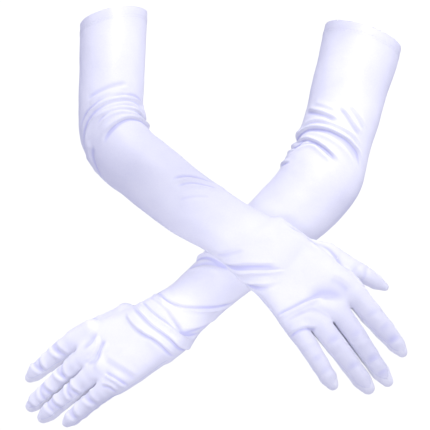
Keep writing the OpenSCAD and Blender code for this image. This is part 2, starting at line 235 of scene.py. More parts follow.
def centreline(side, places):
    """Points, tangents and inner-side normals at each mm along the arm, in the sleeve frame's x, z."""
    bend = math.acos(np.clip(places["upper"].axes[:, 2] @ places["forearm"].axes[:, 2], -1, 1))
    upper, fore = UPPER_LEN[side], FOREARM_LEN[side]
    radius = ELBOW_FILLET / math.tan(bend / 2)
    arc, first = radius * bend, upper - ELBOW_FILLET
    total = first + arc + fore - ELBOW_FILLET
    s = np.arange(-34.0, total + 30.0, 1.0)
    turned = np.clip((s - first) / radius, 0, bend)
    before, after = np.minimum(s, first), np.maximum(s - first - arc, 0)
    x = radius * (1 - np.cos(turned)) + after * np.sin(bend)
    z = -before - radius * np.sin(turned) - after * np.cos(bend)
    tangent = np.stack([np.sin(turned), -np.cos(turned)], 1)
    normal = np.stack([np.cos(turned), np.sin(turned)], 1)
    return {"s": s, "at": np.stack([x, z], 1), "tangent": tangent, "normal": normal,
            "first": first, "arc": arc, "total": total}


def along_arm(points_xz, line):
    """(distance from the rim, offset to the inner side) of points in the upper frame's x and z."""
    s = np.empty(len(points_xz))
    u = np.empty(len(points_xz))
    at = line["at"].astype(np.float32)
    step = 20000
    for i in range(0, len(points_xz), step):
        p = points_xz[i:i + step].astype(np.float32)
        k = ((p[:, None, 0] - at[None, :, 0]) ** 2 + (p[:, None, 1] - at[None, :, 1]) ** 2).argmin(1)
        d = p - at[k]
        s[i:i + step] = line["s"][k] + (d * line["tangent"][k]).sum(1)
        u[i:i + step] = (d * line["normal"][k]).sum(1)
    return s, u


def smooth_table(rows, s):
    """The rows' columns at s, through a smooth curve rather than straight runs."""
    rows = np.array(rows, float)
    fine = np.arange(rows[0, 0], rows[-1, 0] + 1, 1.0)
    out = []
    for c in range(1, rows.shape[1]):
        line = np.interp(fine, rows[:, 0], rows[:, c])
        kernel = np.hanning(17)[1:-1]
        kernel /= kernel.sum()
        soft = np.convolve(np.pad(line, 7, mode="edge"), kernel, mode="valid")
        out.append(np.interp(s, fine, soft))
    return out


# ---- The solid inside the cloth, as a distance field ----


def smooth_min(a, b, k):
    h = np.clip(0.5 + 0.5 * (b - a) / k, 0, 1)
    return b + (a - b) * h - k * h * (1 - h)


def smooth_max(a, b, k):
    return -smooth_min(-a, -b, k)


def oval(x, y, a, b, power):
    """About how far (x, y) lies outside an oval of half sizes a and b."""
    ax, ay = np.abs(x) / a + 1e-6, np.abs(y) / b + 1e-6
    rho = (ax ** power + ay ** power) ** (1 / power)
    slope = rho ** (1 - power) * np.sqrt((ax ** (power - 1) / a) ** 2 + (ay ** (power - 1) / b) ** 2)
    return np.clip((rho - 1) / np.maximum(slope, 0.3 / np.maximum(a, b)), -25, 60)


def round_cone(p, a, b, ra, rb):
    """Distance to a cone with round ends, from a to b with radii ra and rb."""
    length = np.linalg.norm(b - a)
    axis = (b - a) / length
    slope = (ra - rb) / length
    rise = math.sqrt(max(1e-6, 1 - slope * slope))
    pa = p - a
    z = pa @ axis
    r = np.sqrt(np.maximum((pa * pa).sum(-1) - z * z, 0))
    side = r * rise + z * slope - ra
    low = np.sqrt(r * r + z * z) - ra
    high = np.sqrt(r * r + (z - length) ** 2) - rb
    t = z * rise - r * slope
    return np.where(t < 0, low, np.where(t > length * rise, high, side))


def finger_chain(name, places, points, side):
    """Distance to a finger or the thumb, as a chain of round cones."""
    place = places[name]
    rows = FINGER_SHAPE[name]
    tip = rows[-1][1]
    length = place.length - tip
    centres = [place.world((0, c, -f * length)) for f, _, c in rows]
    if name == "thumb":
        tuck = THUMB_TUCK[side]
        centres[0] = places["hand"].world((24 - tuck, 7, -8))
        across = places["hand"].axes[:, 0]
        centres[1:] = [c - across * tuck * (1 - max(row[0], 0)) for c, row in zip(centres[1:], rows[1:])]
    field = None
    for a, b, low, high in zip(centres[:-1], centres[1:], rows[:-1], rows[1:]):
        cone = round_cone(points, a, b, low[1], high[1])
        field = cone if field is None else smooth_min(field, cone, SOFT["phalanx"])
    return field


def glove_field(side, places, line):
    """The field on a grid round one glove, with the grid's low corner."""
    nodes = [n for n in frame["nodes"] if n.startswith(side)]
    low = np.min([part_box(n)[0] for n in nodes], 0) / MM - FIELD_EDGE
    high = np.max([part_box(n)[1] for n in nodes], 0) / MM + FIELD_EDGE
    counts = np.ceil((high - low) / VOXEL).astype(int)
    xs, ys, zs = [low[i] + VOXEL * np.arange(counts[i]) for i in range(3)]
    grid_x, grid_z = np.meshgrid(xs, zs, indexing="ij")
    flat = np.stack([grid_x.ravel(), np.full(grid_x.size, places["upper"].origin[1]), grid_z.ravel()], 1)
    local = places["upper"].local(flat)
    s, u = along_arm(local[:, [0, 2]], line)
    outer, inner, depth = smooth_table(ARM_SHAPE[side], s)
    a, centre = (outer + inner) / 2, (inner - outer) / 2
    shape = (counts[0], 1, counts[2])
    u, a, b = [q.reshape(shape).astype(np.float32) for q in (u - centre, a, depth)]
    y = (ys - places["upper"].origin[1]).astype(np.float32)[None, :, None]
    field = oval(u, y, a, b, 2.0)
    ends = np.maximum(s - line["total"] - PAST_WRIST, -s - PAST_RIM).reshape(shape).astype(np.float32)
    field = smooth_max(field, ends, SOFT["arm end"]).astype(np.float32)

    corners = [(x, y, z) for x in (-85, 85) for y in (-45, 60) for z in (34, -195)]
    corners = places["hand"].world(corners)
    first = np.clip(((corners.min(0) - low) / VOXEL).astype(int), 0, counts - 2)
    last = np.clip(((corners.max(0) - low) / VOXEL).astype(int) + 1, 1, counts)
    part = tuple(slice(i, j) for i, j in zip(first, last))
    p = np.stack(np.meshgrid(xs[part[0]], ys[part[1]], zs[part[2]], indexing="ij"), -1)
    hand = hand_field(side, places, p)
    field[part] = smooth_min(field[part], hand, SOFT["arm to hand"]).astype(np.float32)
    return field, low


def hand_field(side, places, p):
    """The field of the palm, the fingers and the thumb at a block of points."""
    shape = p.shape[:-1]
    p = p.reshape(-1, 3)
    q = places["hand"].local(p)
    out = np.full(len(p), 30.0)
    near = (q[:, 2] < 40) & (q[:, 2] > -190) & (np.abs(q[:, 0]) < 95) & (np.abs(q[:, 1]) < 75)
    p, q = p[near], q[near]
    t = -q[:, 2]
    outer, inner, depth, shift = smooth_table(PALM_SHAPE[side], t)
    palm = oval(q[:, 0] - (inner - outer) / 2, q[:, 1] - shift, (inner + outer) / 2, depth, 2.5)
    web = smooth_table(WEB_LINE[side], q[:, 0])[0]
    palm = smooth_max(palm, t - web, SOFT["web"])
    palm = smooth_max(palm, -t - PAST_RIM, SOFT["hand end"])
    palm = smooth_min(palm, round_cone(q, *HEEL), SOFT["heel"])
    fields = np.stack([finger_chain(n, places, p, side) for n in FINGERS])
    ordered = np.sort(fields, 0)
    apart = np.maximum(ordered[0], (FINGER_GAP - (ordered[1] - ordered[0])) / 2)
    hand = smooth_min(palm, apart, SOFT["finger"])
    out[near] = smooth_min(hand, finger_chain("thumb", places, p, side), SOFT["thumb"])
    return out.reshape(shape)


def mesh_field(field, low):
    """The field's zero surface, as points and quads."""
    grid = openvdb.FloatGrid(30.0)
    grid.copyFromArray(np.clip(field, -6, 6).astype(np.float32), tolerance=0.0)
    points, quads = grid.convertToQuads(isovalue=0.0)
    return points.astype(float) * VOXEL + low, quads.astype(int)


# ---- Folds ----


def polyline_gap(p, points):
    """The signed distance from 2-D points to a polyline, and the share along it."""
    seg = np.diff(points, axis=0)
    lengths = np.linalg.norm(seg, axis=1)
    before = np.concatenate([[0], np.cumsum(lengths)])
    best = np.full(len(p), 1e9)
    sign = np.ones(len(p))
    share = np.zeros(len(p))
    for i, d in enumerate(seg):
        rel = p - points[i]
        h = np.clip(rel @ d / (lengths[i] ** 2), 0, 1)
        away = rel - h[:, None] * d
        gap = np.linalg.norm(away, axis=1)
        near = gap < best
        best[near] = gap[near]
        sign[near] = np.sign(d[0] * away[near, 1] - d[1] * away[near, 0])
        share[near] = (before[i] + h[near] * lengths[i]) / before[-1]
    return sign * best, share


def curve_through(points, count=14):
    """A smooth curve through a few points."""
    p = np.array(points, float)
    if len(p) < 3:
        return p
    ends = np.vstack([2 * p[0] - p[1], p, 2 * p[-1] - p[-2]])
    out = []
    for i in range(1, len(ends) - 2):
        a, b, c, d = ends[i - 1:i + 3]
        for t in np.linspace(0, 1, count, endpoint=False):
            out.append(0.5 * (2 * b + (c - a) * t + (2 * a - 5 * b + 4 * c - d) * t ** 2
                              + (3 * b - a - 3 * c + d) * t ** 3))
    out.append(p[-1])
    return np.array(out)


def fold_height(p, folds):
    """The folds' height over 2-D places: each a ridge with a valley beside it, fading at its ends.

    A fold of negative height is a soft hollow, which fades along its whole length.
    """
    height = np.zeros(len(p))
    for points, tall, wide, lean in folds:
        path = curve_through(points)
        box_low, box_high = path.min(0) - 4 * wide, path.max(0) + 4 * wide
        near = ((p > box_low) & (p < box_high)).all(1)
        if not near.any():
            continue
        gap, share = polyline_gap(p[near], path)
        fade = np.clip(np.minimum(share, 1 - share) / (0.2 if tall > 0 else 0.45), 0, 1)
        fade = fade * fade * (3 - 2 * fade)
        ridge = np.exp(-np.abs(gap / wide) ** 1.5)
        valley = np.exp(-((gap - lean * 1.6 * wide) / wide) ** 2)
        height[near] += tall * fade * (ridge - 0.7 * valley)
    return height


# Folds on the arm, as (angle round it in degrees, distance from the rim in mm) points,
# their height, their width and the side of the valley: 1 is the hand's side, -1 the
# rim's. Angle 0 faces the viewer, 90 is the inner side, -90 the outer, 180 the far side.
ARM_FOLDS = {
    "right": [
        ([(-44, 100), (-15, 93), (8, 88), (38, 83)], 1.5, 3.0, -1),
        ([(-30, 104), (-8, 97), (14, 91), (40, 89)], 0.9, 2.0, -1),
        ([(-76, 122), (-50, 113), (-30, 106), (-8, 100), (13, 96), (34, 94), (58, 94), (98, 98)],
         2.1, 1.9, -1),
        ([(-76, 129), (-41, 116), (-21, 110), (2, 104), (23, 101), (44, 100), (84, 103)], 1.7, 1.7, -1),
        ([(-84, 138), (-60, 127), (-43, 120), (-27, 115), (-9, 111), (11, 107), (33, 105), (60, 105),
          (96, 110)], 2.5, 2.0, -1),
        ([(-30, 125), (-9, 117), (10, 112), (32, 110), (59, 111), (92, 118)], 2.3, 1.9, -1),
        ([(-38, 136), (-20, 129), (-6, 125), (14, 120), (33, 117), (55, 118), (80, 124), (104, 132)],
         2.8, 2.3, 1),
        ([(-96, 150), (-82, 142), (-66, 134), (-50, 130)], 1.7, 2.4, 1),
        ([(60, 97), (94, 106), (135, 106), (170, 100)], 2.6, 4.2, 1),
        ([(66, 114), (96, 118), (140, 120), (178, 110)], 2.0, 2.8, -1),
        ([(62, 122), (96, 129), (140, 129), (185, 120)], 2.8, 3.0, 1),
        ([(84, 143), (120, 145), (155, 140), (195, 128)], 1.6, 3.2, 1),
        ([(150, 92), (190, 96), (225, 108), (262, 126)], 1.7, 3.0, 1),
        ([(160, 112), (200, 116), (235, 126), (268, 140)], 1.8, 3.0, -1),
        ([(-2, 211), (18, 217), (38, 227), (58, 244), (78, 260)], 2.0, 2.0, -1),
        ([(-6, 220), (16, 227), (34, 238), (52, 253)], 1.6, 2.2, -1),
        ([(-26, 229), (-2, 240), (20, 254)], 0.7, 2.6, -1),
        ([(-96, 288), (-58, 311), (-36, 330), (-16, 346)], 1.8, 2.4, 1),
        ([(-100, 299), (-63, 324), (-45, 341), (-22, 358)], 2.4, 2.1, -1),
        ([(-106, 308), (-73, 334), (-60, 347), (-40, 364)], 2.4, 2.0, 1),
        ([(-104, 322), (-84, 342), (-74, 354)], 1.4, 2.4, -1),
        ([(-78, 280), (-52, 293), (-24, 306)], 0.9, 3.0, 1),
        ([(-120, 292), (-150, 300), (-185, 304), (-225, 300)], 1.8, 3.2, 1),
        ([(-105, 312), (-140, 320), (-180, 322), (-220, 316)], 2.0, 3.0, -1),
        ([(70, 318), (100, 314), (135, 312)], 1.6, 3.0, 1),
    ],
    "left": [
        ([(-52, 106), (-26, 94), (-8, 86)], 1.1, 2.2, 1),
        ([(-46, 114), (-26, 106), (-11, 98), (6, 91)], 1.7, 2.1, 1),
        ([(-2, 107), (22, 102), (44, 99), (74, 95)], 2.0, 2.5, 1),
        ([(8, 97), (28, 94), (56, 90)], 1.0, 2.6, 1),
        ([(-60, 130), (-42, 122), (-27, 117), (-10, 114), (10, 112), (32, 110), (54, 111), (84, 116)],
         1.5, 1.8, 1),
        ([(-68, 143), (-50, 132), (-35, 127), (-19, 123), (0, 120), (17, 118), (41, 118), (60, 120),
          (92, 127)], 3.0, 1.9, 1),
        ([(-50, 145), (-30, 138), (-8, 132), (13, 128), (35, 126), (58, 127)], 1.2, 2.4, -1),
        ([(-24, 148), (-6, 143), (11, 138), (31, 133), (51, 131), (78, 135)], 2.7, 1.9, 1),
        ([(-10, 152), (12, 147), (30, 142), (44, 145), (56, 157)], 1.7, 2.3, -1),
        ([(40, 133), (52, 142), (60, 156), (76, 172)], 1.6, 2.2, -1),
        ([(46, 138), (62, 145), (90, 149), (120, 148)], -3.0, 2.6, 1),
        ([(66, 117), (94, 123), (130, 122), (165, 114)], 2.8, 4.2, 1),
        ([(70, 132), (96, 138), (135, 136), (175, 126)], 3.2, 3.4, -1),
        ([(56, 170), (78, 177), (104, 179), (140, 174)], 2.2, 2.6, 1),
        ([(100, 160), (138, 154), (180, 142)], 2.2, 3.2, 1),
        ([(185, 122), (220, 130), (262, 142)], 1.6, 3.2, 1),
        ([(-18, 299), (9, 302), (42, 306), (76, 313), (100, 318)], 2.4, 2.4, 1),
        ([(-12, 309), (16, 316), (46, 326), (78, 340)], 1.5, 2.8, -1),
        ([(-104, 314), (-73, 334), (-47, 349), (-15, 364), (22, 373), (56, 375), (94, 373)], 2.3, 2.2, -1),
        ([(-98, 337), (-76, 357), (-54, 372), (-38, 378)], 1.8, 2.4, 1),
        ([(-60, 386), (-30, 384), (10, 383), (50, 384), (84, 384)], 1.2, 2.6, -1),
        ([(-104, 364), (-62, 381), (-26, 389), (22, 393), (60, 392), (98, 388)], 2.4, 1.7, -1),
        ([(-102, 378), (-67, 390), (-38, 394), (12, 398), (60, 397), (96, 394)], 2.6, 1.9, 1),
        ([(-84, 396), (-61, 402), (-20, 406), (12, 409), (68, 410), (96, 402)], 2.3, 2.0, 1),
        ([(100, 366), (140, 368), (180, 364)], 1.8, 3.0, 1),
        ([(-95, 378), (-135, 380), (-175, 376)], 1.8, 3.0, 1),
    ],
}
# Folds on the back of the hand, as (place across it, distance from the wrist).
BACK_FOLDS = {
    "right": [
        ([(-43, 51), (-25, 57), (-10, 61), (8, 67)], 2.2, 1.9, -1),
        ([(-40, 60), (-22, 64), (-6, 70)], -0.9, 2.4, 1),
        ([(-46, 70), (-33, 73), (-22, 78), (-15, 85)], 2.0, 1.8, 1),
        ([(24, -14), (35, 10), (40, 30), (42, 46)], 1.7, 1.9, -1),
        ([(37, 8), (44, 21), (47, 33), (46, 46), (45, 58), (47, 72)], -1.5, 1.7, 1),
        ([(-12, 56), (10, 66), (28, 84)], -1.7, 8.0, 1),
        ([(-16, 62), (-5, 75), (0, 92)], -1.3, 4.6, -1),
        ([(30, 52), (35, 64), (37, 78)], 0.8, 4.0, 1),
    ],
    "left": [
        ([(-50, 52), (-34, 60), (-22, 69)], 2.4, 1.9, -1),
        ([(-48, 60), (-36, 66), (-28, 75)], 1.5, 1.7, 1),
        ([(-42, 35), (-23, 46), (-4, 58)], 1.0, 3.0, 1),
        ([(22, 60), (10, 62), (2, 72), (2, 82)], 1.8, 2.6, 1),
        ([(6, 48), (2, 58), (-8, 66), (-13, 76)], 1.5, 2.6, -1),
        ([(27, 56), (18, 66), (12, 80)], -1.8, 4.4, 1),
    ],
}
PALM_FOLDS = [
    ([(34, 30), (22, 40), (18, 56), (22, 74)], 1.8, 2.8, 1),
    ([(-38, 70), (-16, 68), (6, 72), (30, 78)], 1.4, 2.8, -1),
    ([(-30, 20), (-10, 34), (4, 52)], 1.2, 3.4, 1),
]
# Crosswise wrinkles on each finger: (share of its length, slant, height) on the back.
FINGER_WRINKLES = {
    "right": {"index": [(0.34, 0.2, -0.5), (0.55, -0.1, -0.6), (0.74, 0.1, -1.1)],
              "middle": [(0.30, -0.1, -0.6), (0.44, 0.3, 0.5), (0.64, 0.1, -1.0), (0.81, 0.1, -0.9)],
              "ring": [(0.24, 0.1, -0.7), (0.44, -0.2, 0.5), (0.62, 0.1, -0.7)],
              "little": [(0.26, 0.3, 0.5), (0.48, 0.1, -0.6), (0.70, -0.1, -0.5)],
              "thumb": [(0.30, 0.4, 0.6), (0.62, -0.3, 0.7)]},
    "left": {"index": [(0.2, 0.4, 1.2), (0.36, 0.5, 1.3), (0.55, -0.3, 1.4), (0.74, 0.4, 1.3)],
             "middle": [(0.16, -0.4, 1.3), (0.32, 0.4, 1.5), (0.5, 0.3, 1.5), (0.68, -0.4, 1.3),
                        (0.82, 0.3, 0.9)],
             "ring": [(0.2, 0.4, 1.5), (0.36, -0.3, 1.5), (0.54, 0.4, 1.4), (0.74, 0.3, 1.3)],
             "little": [(0.18, 0.3, 1.0), (0.36, 0.5, 1.0), (0.56, -0.3, 1.0), (0.76, 0.3, 0.8)],
             "thumb": [(0.3, 0.4, 0.8), (0.6, -0.3, 0.8)]},
}


CREASE = (11, 2.8)        # half length and width of a wrinkle across a finger, in mm
HOLLOW = (10.5, 5.0)
# The satin's gentle waves: (seed, height, shortest and longest wave), in mm.
RIPPLES = {"right": [(3, 0.16, 9, 30), (7, 0.45, 34, 80)],
           "left": [(5, 0.16, 9, 30), (9, 0.45, 34, 80)]}


def ripples(points, seed, amount, low, high):
    """Gentle waves in the cloth: a sum of sines in fixed, seeded directions."""
    rng = np.random.default_rng(seed)
    out = np.zeros(len(points))
    for _ in range(14):
        direction = unit(rng.normal(size=3))
        wave = rng.uniform(low, high)
        out += np.sin(points @ direction * 2 * math.pi / wave + rng.uniform(0, 6.28)) * (wave / high)
    return out * amount / 3


def nearest_finger(places, points):
    """The finger each point is on or beside: 0 to 3, or 4 for the thumb."""
    gaps = []
    for n in STALLS:
        q = places[n].local(points)
        beyond = np.maximum(0, -q[:, 2] - places[n].length)
        gaps.append(np.hypot(q[:, 0], q[:, 1]) + beyond - FINGER_SHAPE[n][1][1])
    return np.argmin(gaps, 0)


def finger_wrinkles(side, name, length):
    """A finger's wrinkles as folds, each one's valley on the other side from the last one's."""
    folds = []
    for i, (share, slant, tall) in enumerate(FINGER_WRINKLES[side][name]):
        at = share * length
        half, wide = CREASE if tall > 0 else HOLLOW
        path = [(-half, at - 8 * slant), (0, at + 1.5), (half, at + 8 * slant)]
        folds.append((path, tall, wide, (1, -1)[i % 2]))
    return folds


def fold_cloth(side, places, line, points, normals):
    """The points moved out and in along their normals by every fold, and the folds' heights."""
    local = places["upper"].local(points)
    s, u = along_arm(local[:, [0, 2]], line)
    outer, inner, depth = smooth_table(ARM_SHAPE[side], s)
    angle = np.degrees(np.arctan2(u - (inner - outer) / 2, -local[:, 1]))
    q = places["hand"].local(points)
    t = -q[:, 2]
    on_arm = 1 - np.clip((t - 8) / 22, 0, 1)
    folds = [(np.array(path, float) * (ARM_ROUND, 1), *rest) for path, *rest in ARM_FOLDS[side]]
    height = np.zeros(len(points))
    arm = on_arm > 0
    for turn in (-360, 0, 360):
        flat = np.stack([(angle[arm] + turn) * ARM_ROUND, s[arm]], 1)
        height[arm] += fold_height(flat, folds) * on_arm[arm]

    facing = normals @ places["hand"].axes[:, 1]
    back, front = np.clip(-facing * 1.6, 0, 1), np.clip(facing * 1.6, 0, 1)
    hand = t > -16
    flat = np.stack([q[hand, 0], t[hand]], 1)
    height[hand] += fold_height(flat, BACK_FOLDS[side]) * back[hand]
    height[hand] += fold_height(flat, PALM_FOLDS) * front[hand]

    owner = nearest_finger(places, points)
    for k, n in enumerate(STALLS):
        flat = places[n].local(points)[:, [0, 2]] * (1, -1)
        mine = (owner == k) & (flat[:, 1] > 2) & (t > 30)
        folds = finger_wrinkles(side, n, places[n].length)
        height[mine] += fold_height(flat[mine], folds) * (0.35 + 0.65 * back[mine])
    folds_only = height.copy()
    for seed, amount, low, high in RIPPLES[side]:
        height += ripples(points, seed, amount, low, high)
    return points + normals * height[:, None], folds_only


# ---- Cutting the cloth into its pieces ----

ELBOW_CUT = 52.0          # how far from the elbow, each way, the elbow's cloth reaches
ELBOW_BEND = 30.0         # and how far the turn reaches
WRIST_CUT = 26.0          # and the same at the wrist
WRIST_BEND = 17.0
RIM_SLOPE = {"right": 0.21, "left": 0.06}     # of the opening, across the arm
CLOTH = 0.7               # mm thick
HAND_TILT = 0.01          # of the line between back and palm, towards the fingertips
ARM_REACH = 75.0          # how far from its middle a cut through the arm or a finger goes
FINGER_REACH = 20.0


def rim_normal(side, places):
    return unit(places["upper"].axes @ np.array([-RIM_SLOPE[side], 0, 1.0]))


def below_rim(side, places, points):
    """How far below the rim's slanted plane points lie."""
    return -(points - places["upper"].origin) @ rim_normal(side, places)


def cut(bm, mask, point, normal):
    """Cuts the faces that touch the masked vertices along a plane."""
    bm.verts.ensure_lookup_table()
    chosen = set(np.flatnonzero(mask).tolist())
    faces = [f for f in bm.faces if f.verts[0].index in chosen or f.verts[2].index in chosen]
    edges = {e for f in faces for e in f.edges}
    verts = {v for f in faces for v in f.verts}
    bmesh.ops.bisect_plane(bm, geom=list(verts) + list(edges) + faces, dist=0.03,
                           plane_co=Vector(point), plane_no=Vector(normal))
    bm.verts.index_update()


def coordinates(bm):
    return np.array([v.co[:] for v in bm.verts], float)


def near_plane(points, point, normal, reach, thick=4.0):
    """Which points lie close to a plane, and within reach of a point on it."""
    rel = points - point
    return (np.abs(rel @ normal) < thick) & (np.linalg.norm(rel, axis=1) < reach)


def cut_glove(side, places, bm):
    """Cuts the cloth along every line where two of its pieces meet, and trims it at the rim."""
    upper, fore, hand = places["upper"], places["forearm"], places["hand"]
    rim = rim_normal(side, places)
    for depth in (0.0, HEM):
        point = upper.origin - rim * depth
        cut(bm, near_plane(coordinates(bm), point, rim, ARM_REACH), point, rim)
    stations = [(upper, -(UPPER_LEN[side] - ELBOW_CUT)), (fore, -ELBOW_CUT),
                (fore, -(FOREARM_LEN[side] - WRIST_CUT)), (hand, -WRIST_CUT)]
    for place, z in stations:
        point, normal = place.world((0, 0, z)), place.axes[:, 2]
        cut(bm, near_plane(coordinates(bm), point, normal, ARM_REACH), point, normal)
    for k, n in enumerate(STALLS):
        place = places[n]
        point, normal = place.world((0, 0, -FINGER_START[n])), place.axes[:, 2]
        cut(bm, near_plane(coordinates(bm), point, normal, FINGER_REACH), point, normal)
        if n == "thumb":
            continue
        for y in (-FOURCHETTE_HALF, FOURCHETTE_HALF):
            co = coordinates(bm)
            q = place.local(co)
            mask = (np.abs(q[:, 1] - y) < 3.5) & (-q[:, 2] > FINGER_START[n] - 2)
            mask &= (nearest_finger(places, co) == k)
            cut(bm, mask, place.world((0, y, 0)), place.axes[:, 1])
    normal = unit(hand.axes @ np.array([0, 1.0, HAND_TILT]))
    co = coordinates(bm)
    q = hand.local(co)
    t = -q[:, 2]
    mask = (np.abs((co - hand.origin) @ normal) < 4) & (t > WRIST_CUT - 3) & (t < 110)
    cut(bm, mask, hand.origin, normal)
    rest = below_rim(side, places, coordinates(bm)) < -0.02
    doomed = [v for v, gone in zip(bm.verts, rest) if gone]
    bmesh.ops.delete(bm, geom=doomed, context="VERTS")
    bm.verts.index_update()


def label_faces(side, places, line, centres):
    """The name of the piece that each face belongs to."""
    names = np.full(len(centres), "forearm_cloth", dtype=object)
    upper_z = places["upper"].local(centres)[:, 2]
    fore_z = places["forearm"].local(centres)[:, 2]
    q = places["hand"].local(centres)
    t = -q[:, 2]
    names[fore_z > -ELBOW_CUT] = "elbow_cloth"
    s, _ = along_arm(places["upper"].local(centres)[:, [0, 2]], line)
    above = s < line["first"] + ELBOW_FILLET - ELBOW_CUT
    names[above & (upper_z > -(UPPER_LEN[side] - ELBOW_CUT))] = "sleeve_cloth"
    names[above & (below_rim(side, places, centres) < HEM)] = "hem_cloth"
    lower = s > line["total"] - WRIST_CUT
    names[lower] = "wrist_cloth"
    tilt = q[:, 1] + HAND_TILT * q[:, 2]
    on_hand = lower & (t > WRIST_CUT)
    names[on_hand & (tilt < 0)] = "hand_back_cloth"
    names[on_hand & (tilt >= 0)] = "hand_palm_cloth"
    owner = nearest_finger(places, centres)
    for k, n in enumerate(STALLS):
        f = places[n].local(centres)
        mine = on_hand & (owner == k) & (-f[:, 2] > FINGER_START[n])
        names[mine] = f"{n}_cloth"
        if n == "thumb":
            continue
        strip = mine & (np.abs(f[:, 1]) < FOURCHETTE_HALF)
        if n != "index":
            names[strip & (f[:, 0] > 0)] = f"{n}_fourchette_thumb_side_cloth"
        if n != "little":
            names[strip & (f[:, 0] < 0)] = f"{n}_fourchette_little_side_cloth"
    return names


def relax(points, quads, rounds):
    """Evens out the mesh with a few gentle averaging rounds."""
    a = quads.ravel()
    b = np.roll(quads, -1, axis=1).ravel()
    size = len(points)
    count = np.bincount(a, minlength=size) + np.bincount(b, minlength=size)
    for _ in range(rounds):
        total = [np.bincount(a, points[b, i], size) + np.bincount(b, points[a, i], size) for i in range(3)]
        points = points * 0.5 + np.stack(total, 1) / count[:, None] * 0.5
    return points


def quad_normals(points, quads):
    """The outward normal at each point of a quad mesh."""
    a, b, c, d = [points[quads[:, j]] for j in range(4)]
    n = np.cross(c - a, d - b)
    size = len(points)
    out = np.stack([sum(np.bincount(quads[:, j], n[:, i], size) for j in range(4)) for i in range(3)], 1)
    return out / np.maximum(np.linalg.norm(out, axis=1), 1e-9)[:, None]


def new_object(name, points_mm, faces, normals=None, folds=None):
    """A smooth mesh object, with its own normals and fold depths where they are given; the satin mixes painted
    shade into the fold valleys from these depths.
    """
    mesh = bpy.data.meshes.new(name)
    mesh.from_pydata((np.asarray(points_mm) * MM).tolist(), [], faces)
    mesh.validate()
    mesh.update()
    mesh.polygons.foreach_set("use_smooth", np.ones(len(mesh.polygons), bool))
    if normals is not None:
        mesh.normals_split_custom_set_from_vertices(np.asarray(normals).tolist())
    if folds is not None:
        mesh.attributes.new("fold", "FLOAT", "POINT").data.foreach_set("value", folds)
    obj = bpy.data.objects.new(name, mesh)
    bpy.context.scene.collection.objects.link(obj)
    return obj


def shell(points, normals, faces, rim_up=None, rim_verts=()):
    """A closed shell of cloth: the outer face, the inner face, and the edges between them.

    The edge at the opening is a rounded fold; rim_up points out of the opening there.
    """
    count = len(points)
    outer_edges = {}
    for f in faces:
        for a, b in zip(f, f[1:] + f[:1]):
            if (b, a) in outer_edges:
                del outer_edges[(b, a)]
            else:
                outer_edges[(a, b)] = True
    all_points = [points, points - normals * CLOTH]
    all_normals = [normals, -normals]
    all_faces = list(faces) + [tuple(v + count for v in reversed(f)) for f in faces]
    rolled = {}
    if rim_up is not None:
        rolled = {v: 2 * count + i for i, v in enumerate(rim_verts)}
        p, n = points[rim_verts], normals[rim_verts]
        for inward, lift, tilt in ((0.22, 0.34, 0.5), (0.78, 0.34, -0.5)):
            all_points.append(p - n * CLOTH * inward + rim_up * CLOTH * lift)
            turned = n * tilt + rim_up
            all_normals.append(turned / np.linalg.norm(turned, axis=1)[:, None])
    step = len(rolled)
    for a, b in outer_edges:
        if a in rolled and b in rolled:
            ring = [(a, b), (rolled[a], rolled[b]), (rolled[a] + step, rolled[b] + step),
                    (a + count, b + count)]
        else:
            ring = [(a, b), (a + count, b + count)]
        for (a0, b0), (a1, b1) in zip(ring[:-1], ring[1:]):
            all_faces.append((b0, a0, a1, b1))
    return np.concatenate(all_points), np.concatenate(all_normals), all_faces


def split_pieces(side, places, line, bm):
    """The cut cloth as separate objects, named by piece."""
    bm.normal_update()
    points = coordinates(bm)
    normals = np.array([v.normal[:] for v in bm.verts], float)
    layer = bm.verts.layers.float["fold"]
    folds = np.array([v[layer] for v in bm.verts], float)
    faces = [tuple(v.index for v in f.verts) for f in bm.faces]
    centres = np.array([f.calc_center_median()[:] for f in bm.faces], float)
    names = label_faces(side, places, line, centres)
    up = rim_normal(side, places)
    pieces = {}
    for name in sorted(set(names)):
        mine = [faces[i] for i in np.flatnonzero(names == name)]
        used = sorted({v for f in mine for v in f})
        to = {v: i for i, v in enumerate(used)}
        local_faces = [tuple(to[v] for v in f) for f in mine]
        p, n = points[used], normals[used]
        rim = ()
        if name == "hem_cloth":
            rim = np.flatnonzero(np.abs(below_rim(side, places, p)) < 0.05).tolist()
        p2, n2, f2 = shell(p, n, local_faces, up if len(rim) else None, rim)
        deep = np.zeros(len(p2))
        deep[:len(p)] = folds[used]
        pieces[name] = new_object(f"{side}_{name}", p2, f2, n2, deep)
    return pieces, BVHTree.FromPolygons(points.tolist(), faces)


def build_glove(side):
    """A glove's frames, middle line, pieces of cloth, and the cloth for rays to hit."""
    places = find_places(side)
    line = centreline(side, places)
    field, low = glove_field(side, places, line)
    points, quads = mesh_field(field, low)
    points = relax(points, quads, 3)
    points, folds = fold_cloth(side, places, line, points, quad_normals(points, quads))
    points = relax(points, quads, 1)
    mesh = bpy.data.meshes.new("whole")
    mesh.from_pydata(points.tolist(), [], quads.tolist())
    mesh.attributes.new("fold", "FLOAT", "POINT").data.foreach_set("value", folds)
    bm = bmesh.new()
    bm.from_mesh(mesh)
    bpy.data.meshes.remove(mesh)
    cut_glove(side, places, bm)
    pieces, tree = split_pieces(side, places, line, bm)
    bm.free()
    return places, line, pieces, tree


# ---- Moving with the frame ----


def movement(side, piece):
    """The body a piece rides on, or the two it bends between, with how far down each the bend is."""
    if piece.startswith(("hem", "sleeve")):
        return ("upper",)
    if piece.startswith("elbow"):
        return ("upper", "forearm", UPPER_LEN[side] - ELBOW_BEND, ELBOW_BEND)
    if piece.startswith("forearm"):
        return ("forearm",)
    if piece.startswith("wrist"):
        return ("forearm", "hand", FOREARM_LEN[side] - WRIST_BEND, WRIST_BEND)
    return ("hand",)


